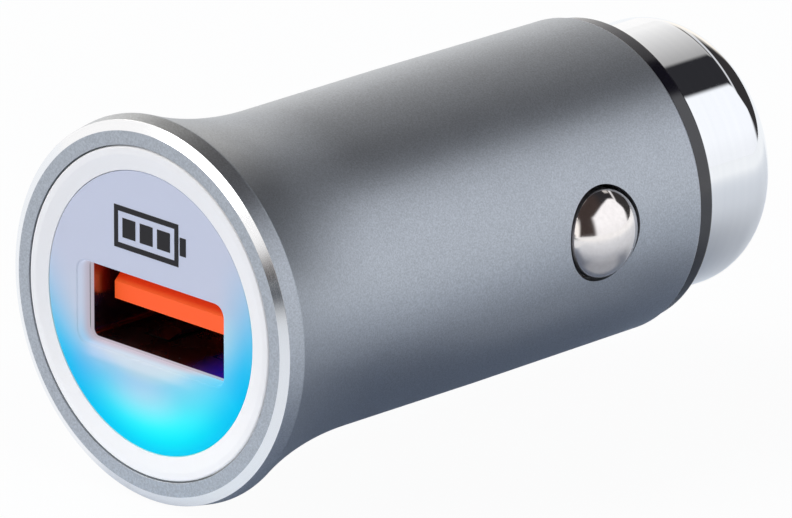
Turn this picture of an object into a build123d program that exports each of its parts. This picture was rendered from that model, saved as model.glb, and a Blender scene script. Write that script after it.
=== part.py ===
from build123d import *
import os
from math import acos, cos, degrees, radians, sin

os.makedirs("parts", exist_ok=True)

# Car USB charger plug, in millimetres. The plug's axis is Y: the port looks along -Y and the nose
# goes into the socket along +Y. Z is up. The origin is on the axis, where the flare of the
# housing meets its straight barrel. Distances called "at" are measured from the flat face ring.

# Turned housing
barrel_r = 10.40            # straight part that enters the socket
straight_len = 11.50        # from the flare to the start of the rear taper
rear_r = 10.27              # end of the rear taper
flare_len = 12.50           # from the face ring to the straight barrel
housing_len = 38.95         # from the face ring to the rear end
face_ring_r = 11.77         # outer edge of the flat face ring
chamfer_r = 12.41           # outer edge of the bright chamfer
chamfer_depth = 0.30
rim_r = 12.59               # crease between the rim and the flare
rim_depth = 1.40
bore_r = 9.20
seat_r = 10.86              # front counterbore for the bezel
seat_depth = 3.20
rear_edge = 0.25            # chamfer on the rear edge

# Bezel and face plate
bezel_gap = 0.06            # dark line between bezel and housing
bezel_edge = 0.15
window_r = 9.21             # visible edge of the face plate
shelf_r = 8.60              # ledge behind the face plate
skirt_len = 5.00
skirt_gap = 0.05
plate_recess = 0.155
plate_t = 1.05
plate_gap = 0.04

# Port opening in the face plate
port_w = 13.12
port_h = 5.40
port_corner = 0.80
port_z = -0.64              # centre of the port above the axis
port_edge = 0.12

# Receptacle
mouth_w = 12.50
mouth_h = 5.12
mouth_corner = 0.45
shell_t = 0.30
shell_len = 14.00
shell_gap = 0.05            # behind the face plate
leaf_w = 1.80               # retention springs in the shell's floor and roof
leaf_len = 5.50
leaf_at = 2.60              # from the mouth to the tip of a retention spring
leaf_press = 0.40           # how far it stands into the mouth
leaf_slit = 0.25
leaf_x = 3.10

# Tongue and its contacts
tongue_w = 11.10
tongue_t = 1.84
tongue_inset = 1.15         # behind the mouth of the shell
tongue_drop = 0.95          # below the roof of the mouth
tongue_bevel = 0.70
block_len = 3.60            # moulded block that closes the back of the shell
block_gap = 0.03
contact_strip_w = 1.00
contact_strip_t = 0.25
contact_bump = 0.25         # crest of the strip below its groove
strip_inset = 0.80          # behind the front of the tongue
strip_gap = 0.02
inner_pitch = 2.00          # between the data contacts
outer_pitch = 7.00          # between the power contacts
tail_gap = 0.60             # behind the block

# Board and parts on it
board_t = 1.00
board_front_at = 2.30
board_half_w = 7.00
board_neck_half_w = 5.90    # between the side contacts
board_neck_lead = 4.55      # from the step in the board to the side contacts
board_rear_inset = 2.95     # from the board's rear edge to the rear end of the housing
led_size = (2.80, 1.20, 0.80)
led_pitch = 3.80
led_lens_t = 0.28
led_lens_taper = 20         # degrees
inductor_size = (6.00, 6.00, 4.20)
inductor_clear = 0.60       # behind the capacitors
inductor_corner = 0.90
inductor_wire_notch = 0.60
inductor_edge = 0.30
can_r = 2.50
can_clear = 1.10            # behind the receptacle
can_x = 3.40
input_can_h = 7.00
output_can_h = 6.00
can_groove = 0.25
can_groove_up = 1.10
can_edge = 0.30
converter_size = (4.90, 3.90, 1.50)
converter_lead_count = 4    # on each side
converter_lead_w = 0.45
charge_size = (2.90, 1.60, 1.10)
charge_at = 11.00
charge_lead_count = 3
charge_lead_w = 0.40
diode_size = (2.60, 4.30, 2.10)
diode_lead_count = 1
diode_lead_w = 1.50
chip_draft = 8.0            # degrees
lead_t = 0.20
lead_reach = 0.90
chip_lift = 0.10            # underside of a moulded chip above the board
ceramic_size = (1.60, 0.80, 0.80)
resistor_size = (1.00, 0.50, 0.35)
chip_row_pitch = 2.20
ceramic_count = 4
ceramic_row_at = 14.80
resistor_count = 5
resistor_row_at = 7.60

# Side contacts
contact_from_rear = 8.90    # from the rear end of the housing
contact_tilt = 3.3          # degrees that the contacts are turned from the port's level
contact_hole_r = 3.13
contact_r = 2.90
contact_brim_r = 3.60
contact_brim_at = 7.75      # inner face of the brim, from the axis
contact_sheet_t = 0.40
contact_shoulder = 10.30    # where the dome begins, from the axis
contact_top = 11.70
contact_round = 0.90        # rounded shoulder of the dome
side_spring_t = 0.30
side_spring_w = 3.20
side_spring_foot = 1.60
side_spring_foot_x = 4.10
side_spring_gap = 0.05      # from the spring to the brim
side_spring_up = 2.40       # top of the spring above the contact's centre
side_spring_knee = 1.60     # knee of the spring below the contact's centre

# Nose
insulator_plug_gap = 0.05
plug_len = 4.75             # part of the insulator inside the bore
ring_r = 10.00              # black ring between the housing and the nose cap
ring_t = 1.15
ring_edge = 0.15
spigot_len = 2.60
board_slot_gap = 0.05
nose_r = 8.80
nose_wall = 0.75
nose_len = 9.15             # from the rear end of the housing
nose_end_t = 1.20
nose_round = 3.00
nose_gap = 0.05             # between spigot and cap
tip_r = 3.00
tip_running_gap = 0.06
tip_reach = 1.90            # beyond the nose cap
tip_round = 1.30
tip_brim_r = 4.20
tip_brim_t = 1.60
tip_brim_gap = 0.10
stem_r = 1.20
stem_clear = 4.20           # from the spring's seat to the stem
spring_bore_r = 3.40
spring_mean_r = 2.60
spring_wire_r = 0.25
spring_turns = 4
spring_seat_inset = 2.15    # from the seat to the rear end of the housing
terminal_t = 0.40
terminal_r = 3.25
terminal_tab_w = 2.00
terminal_tab_gap = 0.05
terminal_clear = 0.60       # ahead of the insulator


def along(at):
    return at - flare_len


# Places that several pieces share
contact_at = housing_len - contact_from_rear
board_neck_at = contact_at - board_neck_lead
board_rear_at = housing_len - board_rear_inset
insulator_front_at = housing_len - plug_len
terminal_down_at = insulator_front_at - terminal_clear - terminal_t
spring_seat_at = housing_len - spring_seat_inset
nose_end_at = housing_len + nose_len
shell_back_at = plate_recess + plate_t + shell_gap + shell_len
can_at = shell_back_at + can_clear + can_r
inductor_at = can_at + can_r + inductor_clear + inductor_size[1] / 2
face_y = along(0)
rear_y = along(housing_len)
plate_front_y = along(plate_recess)
plate_back_y = plate_front_y + plate_t
shell_front_y = plate_back_y + shell_gap
shell_back_y = along(shell_back_at)
mouth_roof_z = port_z + mouth_h / 2
mouth_floor_z = port_z - mouth_h / 2
tongue_top_z = mouth_roof_z - tongue_drop
tongue_under_z = tongue_top_z - tongue_t
tongue_front_y = shell_front_y + tongue_inset
block_front_y = shell_back_y - block_len
strip_top_z = tongue_under_z + contact_strip_t
board_top_z = mouth_floor_z - shell_t
board_under_z = board_top_z - board_t
ring_back_y = rear_y + ring_t
nose_end_y = along(nose_end_at)
spring_seat_y = along(spring_seat_at)
tip_brim_front_y = nose_end_y - nose_end_t - tip_brim_gap - tip_brim_t
stem_front_y = spring_seat_y + stem_clear
contact_side = {"right": 1, "left": -1}


def write(piece, name):
    piece.part.label = name
    export_step(piece.part, f"parts/{name}.step")


def contact_frame(side):
    """Sketch plane through one side contact: its x runs along the plug, its y points outwards."""
    outward = Vector(side * cos(radians(contact_tilt)), 0, side * sin(radians(contact_tilt)))
    lengthwise = Vector(0, 1, 0)
    return Plane((0, along(contact_at), 0), x_dir=lengthwise, z_dir=lengthwise.cross(outward))


# Housing: one turned and bead-blasted piece, flared to a chamfered rim at the front
with BuildPart() as housing:
    with BuildSketch(Plane.XY):
        with BuildLine():
            Polyline(
                (seat_r, face_y),
                (face_ring_r, face_y),
                (chamfer_r, along(chamfer_depth)),
                (rim_r, along(rim_depth)),
            )
            TangentArc((barrel_r, 0), (rim_r, along(rim_depth)), tangent=(0, -1))
            Polyline(
                (barrel_r, 0),
                (barrel_r, straight_len),
                (rear_r, rear_y - rear_edge),
                (rear_r - rear_edge, rear_y),
                (bore_r, rear_y),
                (bore_r, along(seat_depth)),
                (seat_r, along(seat_depth)),
                (seat_r, face_y),
            )
        make_face()
    revolve(axis=Axis.Y)
    right = contact_frame(contact_side["right"])
    with BuildSketch(Plane(right.origin, x_dir=right.x_dir, z_dir=right.y_dir)):
        Circle(contact_hole_r)
    extrude(amount=rim_r, both=True, mode=Mode.SUBTRACT)
write(housing, "housing")

# Bezel: white ring with a ledge for the face plate and a skirt in the bore
with BuildPart() as bezel_ring:
    bezel_r = seat_r - bezel_gap
    skirt_r = bore_r - skirt_gap
    skirt_y = along(seat_depth + skirt_len)
    with BuildSketch(Plane.XY):
        with BuildLine():
            Polyline(
                (window_r, face_y + bezel_edge),
                (window_r + bezel_edge, face_y),
                (bezel_r - bezel_edge, face_y),
                (bezel_r, face_y + bezel_edge),
                (bezel_r, along(seat_depth)),
                (skirt_r, along(seat_depth)),
                (skirt_r, skirt_y),
                (shelf_r, skirt_y),
                (shelf_r, plate_back_y),
                (window_r, plate_back_y),
                close=True,
            )
        make_face()
    revolve(axis=Axis.Y)
write(bezel_ring, "bezel_ring")

# Face plate: translucent disc with the port opening
with BuildPart() as face_plate:
    with BuildSketch(Plane.XZ.offset(-plate_front_y)):
        Circle(window_r - plate_gap)
        with Locations((0, port_z)):
            RectangleRounded(port_w, port_h, port_corner, mode=Mode.SUBTRACT)
    extrude(amount=-plate_t)
    front_face = face_plate.faces().sort_by(Axis.Y)[0]
    chamfer(front_face.inner_wires()[0].edges(), port_edge)
write(face_plate, "face_plate")

# Receptacle shell: folded steel tube with retention springs in its floor and roof
with BuildPart() as usb_shell:
    with BuildSketch(Plane.XZ.offset(-shell_front_y)):
        with Locations((0, port_z)):
            RectangleRounded(mouth_w + 2 * shell_t, mouth_h + 2 * shell_t, mouth_corner + shell_t)
            RectangleRounded(mouth_w, mouth_h, mouth_corner, mode=Mode.SUBTRACT)
    extrude(amount=-shell_len)
    leaf_tip_y = shell_front_y + leaf_at
    leaf_root_y = leaf_tip_y + leaf_len
    slit_y = (leaf_tip_y - leaf_slit + leaf_root_y) / 2
    with Locations((leaf_x, slit_y, port_z), (-leaf_x, slit_y, port_z)):
        Box(leaf_w + 2 * leaf_slit, leaf_len + leaf_slit, mouth_h + 4 * shell_t, mode=Mode.SUBTRACT)
    for wall_z, inward in ((mouth_floor_z, 1), (mouth_roof_z, -1)):
        for x in (-leaf_x, leaf_x):
            with BuildSketch(Plane.YZ.offset(x)):
                with BuildLine():
                    outer = [
                        (leaf_root_y + leaf_slit, wall_z),
                        (leaf_root_y, wall_z),
                        (leaf_tip_y + leaf_len / 4, wall_z + inward * leaf_press),
                        (leaf_tip_y, wall_z),
                    ]
                    inner = [(y, z - inward * shell_t) for y, z in reversed(outer)]
                    Polyline(*outer, *inner, close=True)
                make_face()
            extrude(amount=leaf_w / 2, both=True)
write(usb_shell, "usb_shell")

# Tongue: orange moulding, grooved below for the contacts, with the block that closes the shell
contact_places = {
    "usb_contact_vbus": -outer_pitch / 2,
    "usb_contact_data_minus": -inner_pitch / 2,
    "usb_contact_data_plus": inner_pitch / 2,
    "usb_contact_ground": outer_pitch / 2,
}
strip_front_y = tongue_front_y + strip_inset
with BuildPart() as usb_tongue:
    with BuildSketch(Plane.YZ):
        with BuildLine():
            Polyline(
                (tongue_front_y, tongue_under_z),
                (tongue_front_y, tongue_top_z - tongue_bevel),
                (tongue_front_y + tongue_bevel, tongue_top_z),
                (block_front_y, tongue_top_z),
                (block_front_y, tongue_under_z),
                close=True,
            )
        make_face()
    extrude(amount=tongue_w / 2, both=True)
    with BuildSketch(Plane.XZ.offset(-block_front_y)):
        with Locations((0, port_z)):
            RectangleRounded(mouth_w - 2 * block_gap, mouth_h - 2 * block_gap, mouth_corner - block_gap)
    extrude(amount=-block_len)
    groove_len = shell_back_y - strip_front_y
    groove_t = contact_strip_t + strip_gap
    for x in contact_places.values():
        with Locations((x, strip_front_y - strip_gap, strip_top_z + strip_gap)):
            Box(
                contact_strip_w + 2 * strip_gap,
                groove_len + strip_gap,
                groove_t + strip_gap,
                align=(Align.CENTER, Align.MIN, Align.MAX),
                mode=Mode.SUBTRACT,
            )
write(usb_tongue, "usb_tongue")

# Contacts: bent strips, in the tongue's grooves, down behind the block to the board
tail_y = shell_back_y + tail_gap
for name, x in contact_places.items():
    with BuildPart() as usb_contact:
        with BuildSketch(Plane.YZ.offset(x)):
            with BuildLine():
                crest_y = strip_front_y + (block_front_y - strip_front_y) / 3
                upper = [
                    (strip_front_y, strip_top_z),
                    (tail_y + contact_strip_t, strip_top_z),
                    (tail_y + contact_strip_t, board_top_z),
                    (tail_y, board_top_z),
                ]
                lower = [
                    (tail_y, tongue_under_z),
                    (block_front_y - contact_bump, tongue_under_z),
                    (crest_y + contact_bump, tongue_under_z - contact_bump),
                    (crest_y - contact_bump, tongue_under_z - contact_bump),
                    (strip_front_y, tongue_under_z),
                ]
                Polyline(*upper, *lower, close=True)
            make_face()
        extrude(amount=contact_strip_w / 2, both=True)
    write(usb_contact, name)

# Board: full width under the receptacle, narrower between the side contacts
with BuildPart() as main_board:
    with BuildSketch(Plane.XY.offset(board_under_z)):
        with BuildLine():
            right_edge = [
                (board_half_w, along(board_front_at)),
                (board_half_w, along(board_neck_at)),
                (board_neck_half_w, along(board_neck_at)),
                (board_neck_half_w, along(board_rear_at)),
            ]
            left_edge = [(-x, y) for x, y in reversed(right_edge)]
            Polyline(*right_edge, *left_edge, close=True)
        make_face()
    extrude(amount=board_t)
write(main_board, "main_board")

# Light-emitting diodes at the front edge of the board's underside, facing the plate
led_w, led_depth, led_h = led_size
for name, x in (("led_left", -led_pitch), ("led_centre", 0), ("led_right", led_pitch)):
    with BuildPart() as led:
        with Locations((x, along(board_front_at), board_under_z)):
            Box(led_w, led_depth, led_h, align=(Align.CENTER, Align.MIN, Align.MAX))
        with BuildSketch(Plane.XZ.offset(-along(board_front_at))):
            with Locations((x, board_under_z - led_h / 2)):
                SlotOverall(led_w - led_h / 2, led_h / 2)
        extrude(amount=led_lens_t, taper=led_lens_taper)
    write(led, name)

# Power inductor: ferrite block with rounded corners and a notch for each end of its wire
with BuildPart() as power_inductor:
    long_x, long_y, tall = inductor_size
    with BuildSketch(Plane.XY.offset(board_top_z)):
        with Locations((0, along(inductor_at))):
            RectangleRounded(long_x, long_y, inductor_corner)
    extrude(amount=tall)
    top_edges = power_inductor.faces().sort_by(Axis.Z)[-1].edges()
    chamfer(top_edges, inductor_edge)
    with Locations(
        (long_x / 2, along(inductor_at), board_top_z),
        (-long_x / 2, along(inductor_at), board_top_z),
    ):
        notch_low = (Align.CENTER, Align.CENTER, Align.MIN)
        Box(2 * inductor_wire_notch, long_y / 2, inductor_wire_notch, align=notch_low, mode=Mode.SUBTRACT)
write(power_inductor, "power_inductor")

# Electrolytic capacitors: aluminium cans with a crimped groove above the base
cans = {
    "input_capacitor": (-can_x, input_can_h),
    "output_capacitor": (can_x, output_can_h),
}
for name, (x, height) in cans.items():
    base = Plane((x, along(can_at), board_top_z), x_dir=(1, 0, 0), z_dir=(0, -1, 0))
    with BuildPart() as capacitor:
        with BuildSketch(base):
            with BuildLine():
                Polyline(
                    (0, 0),
                    (can_r, 0),
                    (can_r, can_groove_up - can_groove),
                    (can_r - can_groove, can_groove_up),
                    (can_r, can_groove_up + can_groove),
                    (can_r, height - can_edge),
                    (can_r - can_edge, height),
                    (0, height),
                    close=True,
                )
            make_face()
        revolve(axis=Axis(base.origin, base.y_dir))
    write(capacitor, name)


# Moulded chips hang under the board on their bent leads, which stand out fore and aft
def moulded_chip(name, size, at, lead_count, lead_w):
    long_x, long_y, tall = size
    lead_pitch = long_x / lead_count
    lead_mid_z = board_under_z - tall / 2
    with BuildPart() as chip:
        with BuildSketch(Plane.XY.offset(board_under_z - chip_lift)):
            with Locations((0, along(at))):
                Rectangle(long_x, long_y)
        extrude(amount=-(tall - chip_lift), taper=chip_draft)
        for side in (1, -1):
            for index in range(lead_count):
                lead_x = (index - (lead_count - 1) / 2) * lead_pitch
                lead_plane = Plane((lead_x, along(at), 0), x_dir=(0, side, 0), z_dir=(side, 0, 0))
                knee = long_y / 2 + lead_reach / 2
                foot = long_y / 2 + lead_reach
                with BuildSketch(lead_plane):
                    with BuildLine():
                        Polyline(
                            (long_y / 4, lead_mid_z),
                            (knee, lead_mid_z),
                            (knee, board_under_z),
                            (foot, board_under_z),
                            (foot, board_under_z - lead_t),
                            (knee + lead_t, board_under_z - lead_t),
                            (knee + lead_t, lead_mid_z - lead_t),
                            (long_y / 4, lead_mid_z - lead_t),
                            close=True,
                        )
                    make_face()
                extrude(amount=lead_w / 2, both=True)
    write(chip, name)


moulded_chip("converter_chip", converter_size, can_at, converter_lead_count, converter_lead_w)
moulded_chip("charge_chip", charge_size, charge_at, charge_lead_count, charge_lead_w)
moulded_chip("rectifier_diode", diode_size, inductor_at, diode_lead_count, diode_lead_w)

# Ceramic capacitors and resistors: rows of small blocks on the board's underside
with BuildPart() as ceramic_capacitors:
    long_x, long_y, tall = ceramic_size
    with Locations((0, along(ceramic_row_at), board_under_z)):
        with GridLocations(chip_row_pitch, 0, ceramic_count, 1):
            Box(long_x, long_y, tall, align=(Align.CENTER, Align.CENTER, Align.MAX))
write(ceramic_capacitors, "ceramic_capacitors")

with BuildPart() as resistors:
    long_x, long_y, tall = resistor_size
    with Locations((0, along(resistor_row_at), board_under_z)):
        with GridLocations(chip_row_pitch, 0, resistor_count, 1):
            Box(long_x, long_y, tall, align=(Align.CENTER, Align.CENTER, Align.MAX))
write(resistors, "resistors")

# Side contacts: drawn steel domes with a brim behind the wall of the bore
dome_h = contact_top - contact_shoulder
crown_r = (contact_r**2 + dome_h**2) / (2 * dome_h)
crown_centre = contact_top - crown_r
inside_r = contact_r - contact_sheet_t
inside_crown_r = crown_r - contact_sheet_t
outer_angle = degrees(acos(contact_r / crown_r))
inner_angle = degrees(acos(inside_r / inside_crown_r))
inside_shoulder = crown_centre + inside_crown_r * sin(radians(inner_angle))
for side_name, side in contact_side.items():
    frame = contact_frame(side)
    contact_axis = Axis(frame.origin, frame.y_dir)
    with BuildPart() as side_contact:
        with BuildSketch(frame) as section:
            with BuildLine():
                brim_out = contact_brim_at + contact_sheet_t
                Polyline(
                    (inside_r, inside_shoulder),
                    (inside_r, contact_brim_at),
                    (contact_brim_r, contact_brim_at),
                    (contact_brim_r, brim_out),
                    (contact_r, brim_out),
                    (contact_r, contact_shoulder),
                )
                CenterArc((0, crown_centre), crown_r, outer_angle, 90 - outer_angle)
                Line((0, contact_top), (0, contact_top - contact_sheet_t))
                CenterArc((0, crown_centre), inside_crown_r, inner_angle, 90 - inner_angle)
            make_face()
            corners = section.vertices()
            fillet(corners.sort_by_distance((contact_r, contact_shoulder))[0], contact_round)
            corners = section.vertices()
            inside_round = contact_round - contact_sheet_t
            fillet(corners.sort_by_distance((inside_r, inside_shoulder))[0], inside_round)
        revolve(axis=contact_axis)
    write(side_contact, f"side_contact_{side_name}")

# Side springs: leaves soldered to the board that push the side contacts outwards
for side_name, side in contact_side.items():
    lean = radians(contact_tilt) * side
    back_x = contact_brim_at - side_spring_gap
    board_z = board_top_z
    with BuildPart() as side_spring:
        with BuildSketch(Plane.XZ.offset(-along(contact_at))):
            with BuildLine():
                foot_x = side_spring_foot_x + side_spring_foot
                outer_side = [
                    (side_spring_foot_x, board_z),
                    (foot_x, board_z),
                    (back_x * cos(lean) + side_spring_knee * sin(lean), back_x * sin(lean) - side_spring_knee),
                    (back_x * cos(lean) - side_spring_up * sin(lean), back_x * sin(lean) + side_spring_up),
                ]
                inner_side = [
                    (outer_side[3][0] - side_spring_t, outer_side[3][1]),
                    (outer_side[2][0] - side_spring_t, outer_side[2][1] + side_spring_t / 2),
                    (foot_x - side_spring_t, board_z + side_spring_t),
                    (side_spring_foot_x, board_z + side_spring_t),
                ]
                Polyline(*[(side * x, z) for x, z in outer_side + inner_side], close=True)
            make_face()
        extrude(amount=side_spring_w / 2, both=True)
    write(side_spring, f"side_spring_{side_name}")

# Insulator: black plug in the rear of the bore, with the ring that shows and a spigot for the cap
insulator_front_y = along(insulator_front_at)
spigot_y = ring_back_y + spigot_len
spigot_r = nose_r - nose_wall - nose_gap
with BuildPart() as nose_insulator:
    plug_r = bore_r - insulator_plug_gap
    with BuildSketch(Plane.XY):
        with BuildLine():
            Polyline(
                (0, insulator_front_y),
                (plug_r, insulator_front_y),
                (plug_r, rear_y),
                (ring_r, rear_y),
                (ring_r, ring_back_y - ring_edge),
                (ring_r - ring_edge, ring_back_y),
                (spigot_r, ring_back_y),
                (spigot_r, spigot_y),
                (spring_bore_r, spigot_y),
                (spring_bore_r, spring_seat_y - terminal_t),
                (0, spring_seat_y - terminal_t),
                close=True,
            )
        make_face()
    revolve(axis=Axis.Y)
    slot_mid_z = (board_top_z + board_under_z) / 2
    with Locations((0, insulator_front_y, slot_mid_z)):
        Box(
            2 * (board_neck_half_w + board_slot_gap),
            2 * (along(board_rear_at) + board_slot_gap - insulator_front_y),
            board_t + 2 * board_slot_gap,
            mode=Mode.SUBTRACT,
        )
    with Locations((0, spring_seat_y, 0)):
        Box(
            terminal_tab_w + 2 * terminal_tab_gap,
            2 * (spring_seat_y - insulator_front_y),
            terminal_t + 2 * terminal_tab_gap,
            mode=Mode.SUBTRACT,
        )
write(nose_insulator, "nose_insulator")

# Nose cap: drawn and plated cup with a rounded end and a hole for the tip
nose_in_r = nose_r - nose_wall
inner_round = nose_round - nose_wall
tip_hole_r = tip_r + tip_running_gap
inner_end_y = nose_end_y - nose_end_t
with BuildPart() as nose_cap:
    with BuildSketch(Plane.XY):
        with BuildLine():
            Line((nose_r, ring_back_y), (nose_r, nose_end_y - nose_round))
            TangentArc((nose_r, nose_end_y - nose_round), (nose_r - nose_round, nose_end_y), tangent=(0, 1))
            Polyline(
                (nose_r - nose_round, nose_end_y),
                (tip_hole_r, nose_end_y),
                (tip_hole_r, inner_end_y),
                (nose_in_r - inner_round, inner_end_y),
            )
            TangentArc(
                (nose_in_r, inner_end_y - inner_round), (nose_in_r - inner_round, inner_end_y), tangent=(0, 1)
            )
            Polyline(
                (nose_in_r, inner_end_y - inner_round),
                (nose_in_r, ring_back_y),
                (nose_r, ring_back_y),
            )
        make_face()
    revolve(axis=Axis.Y)
write(nose_cap, "nose_cap")

# Tip contact: turned pin with a brim inside the cap and a stem inside its spring
with BuildPart() as tip_contact:
    tip_end_y = nose_end_y + tip_reach
    tip_brim_back_y = tip_brim_front_y + tip_brim_t
    with BuildSketch(Plane.XY):
        with BuildLine():
            Polyline(
                (0, stem_front_y),
                (stem_r, stem_front_y),
                (stem_r, tip_brim_front_y),
                (tip_brim_r, tip_brim_front_y),
                (tip_brim_r, tip_brim_back_y),
                (tip_r, tip_brim_back_y),
                (tip_r, tip_end_y - tip_round),
            )
            TangentArc((tip_r, tip_end_y - tip_round), (tip_r - tip_round, tip_end_y), tangent=(0, 1))
            Polyline(
                (tip_r - tip_round, tip_end_y),
                (0, tip_end_y),
                (0, stem_front_y),
            )
        make_face()
    revolve(axis=Axis.Y)
write(tip_contact, "tip_contact")

# Tip spring: compression coil between the terminal and the brim of the tip
with BuildPart() as tip_spring:
    coil_len = tip_brim_front_y - spring_seat_y - 2 * spring_wire_r
    coil_start = (0, spring_seat_y + spring_wire_r, 0)
    with BuildLine() as coil:
        Helix(coil_len / spring_turns, coil_len, spring_mean_r, center=coil_start, direction=(0, 1, 0))
    with BuildSketch(Plane(coil.line @ 0, z_dir=coil.line % 0)):
        RegularPolygon(spring_wire_r, 6)
    sweep(path=coil.line, is_frenet=True)
write(tip_spring, "tip_spring")

# Tip terminal: brass disc under the spring, with a tab that runs down to the board
with BuildPart() as tip_terminal:
    with BuildSketch(Plane.XZ.offset(-spring_seat_y)):
        Circle(terminal_r)
    extrude(amount=terminal_t)
    with BuildSketch(Plane.YZ):
        with BuildLine():
            down_y = along(terminal_down_at)
            Polyline(
                (spring_seat_y, terminal_t / 2),
                (down_y, terminal_t / 2),
                (down_y, board_top_z),
                (down_y + terminal_t, board_top_z),
                (down_y + terminal_t, -terminal_t / 2),
                (spring_seat_y, -terminal_t / 2),
                close=True,
            )
        make_face()
    extrude(amount=terminal_tab_w / 2, both=True)
write(tip_terminal, "tip_terminal")
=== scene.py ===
import math

import bmesh
import bpy
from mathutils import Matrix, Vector


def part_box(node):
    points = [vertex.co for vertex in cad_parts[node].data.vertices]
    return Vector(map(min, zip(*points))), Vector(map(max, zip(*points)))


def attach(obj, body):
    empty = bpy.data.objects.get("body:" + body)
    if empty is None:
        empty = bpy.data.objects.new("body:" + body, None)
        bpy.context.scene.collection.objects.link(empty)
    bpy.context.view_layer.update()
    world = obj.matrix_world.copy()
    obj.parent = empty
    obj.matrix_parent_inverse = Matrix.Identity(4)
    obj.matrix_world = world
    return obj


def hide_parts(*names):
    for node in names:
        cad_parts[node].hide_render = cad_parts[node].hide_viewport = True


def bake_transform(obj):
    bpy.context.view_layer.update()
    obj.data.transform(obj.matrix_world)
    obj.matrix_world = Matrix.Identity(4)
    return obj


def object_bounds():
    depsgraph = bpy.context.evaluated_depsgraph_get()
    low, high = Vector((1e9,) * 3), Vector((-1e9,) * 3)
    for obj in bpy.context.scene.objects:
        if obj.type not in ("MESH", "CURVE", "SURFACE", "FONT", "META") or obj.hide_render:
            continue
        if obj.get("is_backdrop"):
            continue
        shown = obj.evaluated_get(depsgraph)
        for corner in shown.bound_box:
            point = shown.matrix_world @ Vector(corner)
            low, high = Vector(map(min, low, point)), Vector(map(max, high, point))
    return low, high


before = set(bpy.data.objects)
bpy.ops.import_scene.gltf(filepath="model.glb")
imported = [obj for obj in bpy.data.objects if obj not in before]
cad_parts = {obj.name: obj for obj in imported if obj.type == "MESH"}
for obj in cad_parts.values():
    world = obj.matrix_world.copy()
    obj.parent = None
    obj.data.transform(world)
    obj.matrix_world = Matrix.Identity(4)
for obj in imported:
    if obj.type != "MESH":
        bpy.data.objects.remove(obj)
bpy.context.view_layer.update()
mm = 0.001
print("frame loaded,", len(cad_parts), "nodes")

# Where things are along the plug, taken from the frame
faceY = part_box("housing")[0].y
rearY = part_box("housing")[1].y
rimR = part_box("housing")[1].x
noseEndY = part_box("nose_cap")[1].y
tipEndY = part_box("tip_contact")[1].y
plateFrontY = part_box("face_plate")[0].y
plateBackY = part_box("face_plate")[1].y

# Small values that the pieces share
mergeReach = 0.0005 * mm  # doubles this close are merged
nearReach = 0.002 * mm  # how exactly a corner or an edge is found again
mostly = 0.9  # from this share on, an edge runs or a face looks along an axis
overshoot = 1 * mm  # how far a cutter stands past what it cuts
shadeScale = 1024  # growth of a piece while it is shaded, about 1 m for each millimetre
roundingSteps = ((0.2 * mm, 3), (1 * mm, 6), (math.inf, 14))  # roundings below this size, and their segments
noiseSpan = (0.3, 0.7)  # where most of a noise lies
pitSpan = (0.25, 0.75)  # a wider span, which leaves the pits softer
grainRelief = 0.01 * mm
ringRelief = 0.003 * mm
noLight = (0, 0, 0)


# Modelling helpers

def clearSelection():
    if bpy.context.object and bpy.context.object.mode != 'OBJECT':
        bpy.ops.object.mode_set(mode='OBJECT')
    bpy.ops.object.select_all(action='DESELECT')


def takeUp(piece):
    clearSelection()
    piece.select_set(True)
    bpy.context.view_layer.objects.active = piece


def namePiece(name):
    piece = bpy.context.object
    piece.name = name
    piece.data.name = name
    return piece


def settle():
    bpy.ops.object.transform_apply(location=True, rotation=True, scale=True)


def applyModifier(piece, modifier):
    takeUp(piece)
    bpy.ops.object.modifier_apply(modifier=modifier.name)


def softenEdges(piece, width, fromAngle):
    bevel = piece.modifiers.new("edges", 'BEVEL')
    bevel.width = width
    bevel.segments = 2
    bevel.limit_method = 'ANGLE'
    bevel.angle_limit = math.radians(fromAngle)
    applyModifier(piece, bevel)


def cutAway(piece, cutter):
    cut = piece.modifiers.new("cut", 'BOOLEAN')
    cut.operation = 'DIFFERENCE'
    cut.solver = 'EXACT'
    cut.object = cutter
    applyModifier(piece, cut)
    bpy.data.objects.remove(cutter)


def enlarge(piece, factor):
    takeUp(piece)
    piece.scale = (factor, factor, factor)
    settle()


# Large faces decide the shading, so that narrow roundings don't bend the reflections beside them.
# The modifier leaves very small faces out, so the piece is larger while it works.
def smoothShade(piece, fromAngle=40):
    takeUp(piece)
    bpy.ops.object.shade_smooth_by_angle(angle=math.radians(fromAngle))
    enlarge(piece, shadeScale)
    even = piece.modifiers.new("evenNormals", 'WEIGHTED_NORMAL')
    even.keep_sharp = True
    even.weight = 100
    even.thresh = 0.03
    applyModifier(piece, even)
    enlarge(piece, 1 / shadeScale)


def addBlock(name, low, high):
    low, high = Vector(low), Vector(high)
    clearSelection()
    bpy.ops.mesh.primitive_cube_add(size=1, location=(low + high) / 2)
    block = namePiece(name)
    block.scale = high - low
    settle()
    return block


# The piece is left in edit mode, with only the wanted edges or faces selected
def pick(piece, kind, wanted):
    takeUp(piece)
    bpy.ops.object.mode_set(mode='EDIT')
    bpy.ops.mesh.select_mode(type=kind)
    bpy.ops.mesh.select_all(action='DESELECT')
    mesh = bmesh.from_edit_mesh(piece.data)
    for item in mesh.edges if kind == 'EDGE' else mesh.faces:
        item.select_set(wanted(item))
    bmesh.update_edit_mesh(piece.data)


def bevelEdges(piece, wanted, offset, segments):
    pick(piece, 'EDGE', wanted)
    bpy.ops.mesh.bevel(offset=offset, segments=segments, affect='EDGES')
    bpy.ops.object.mode_set(mode='OBJECT')


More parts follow.
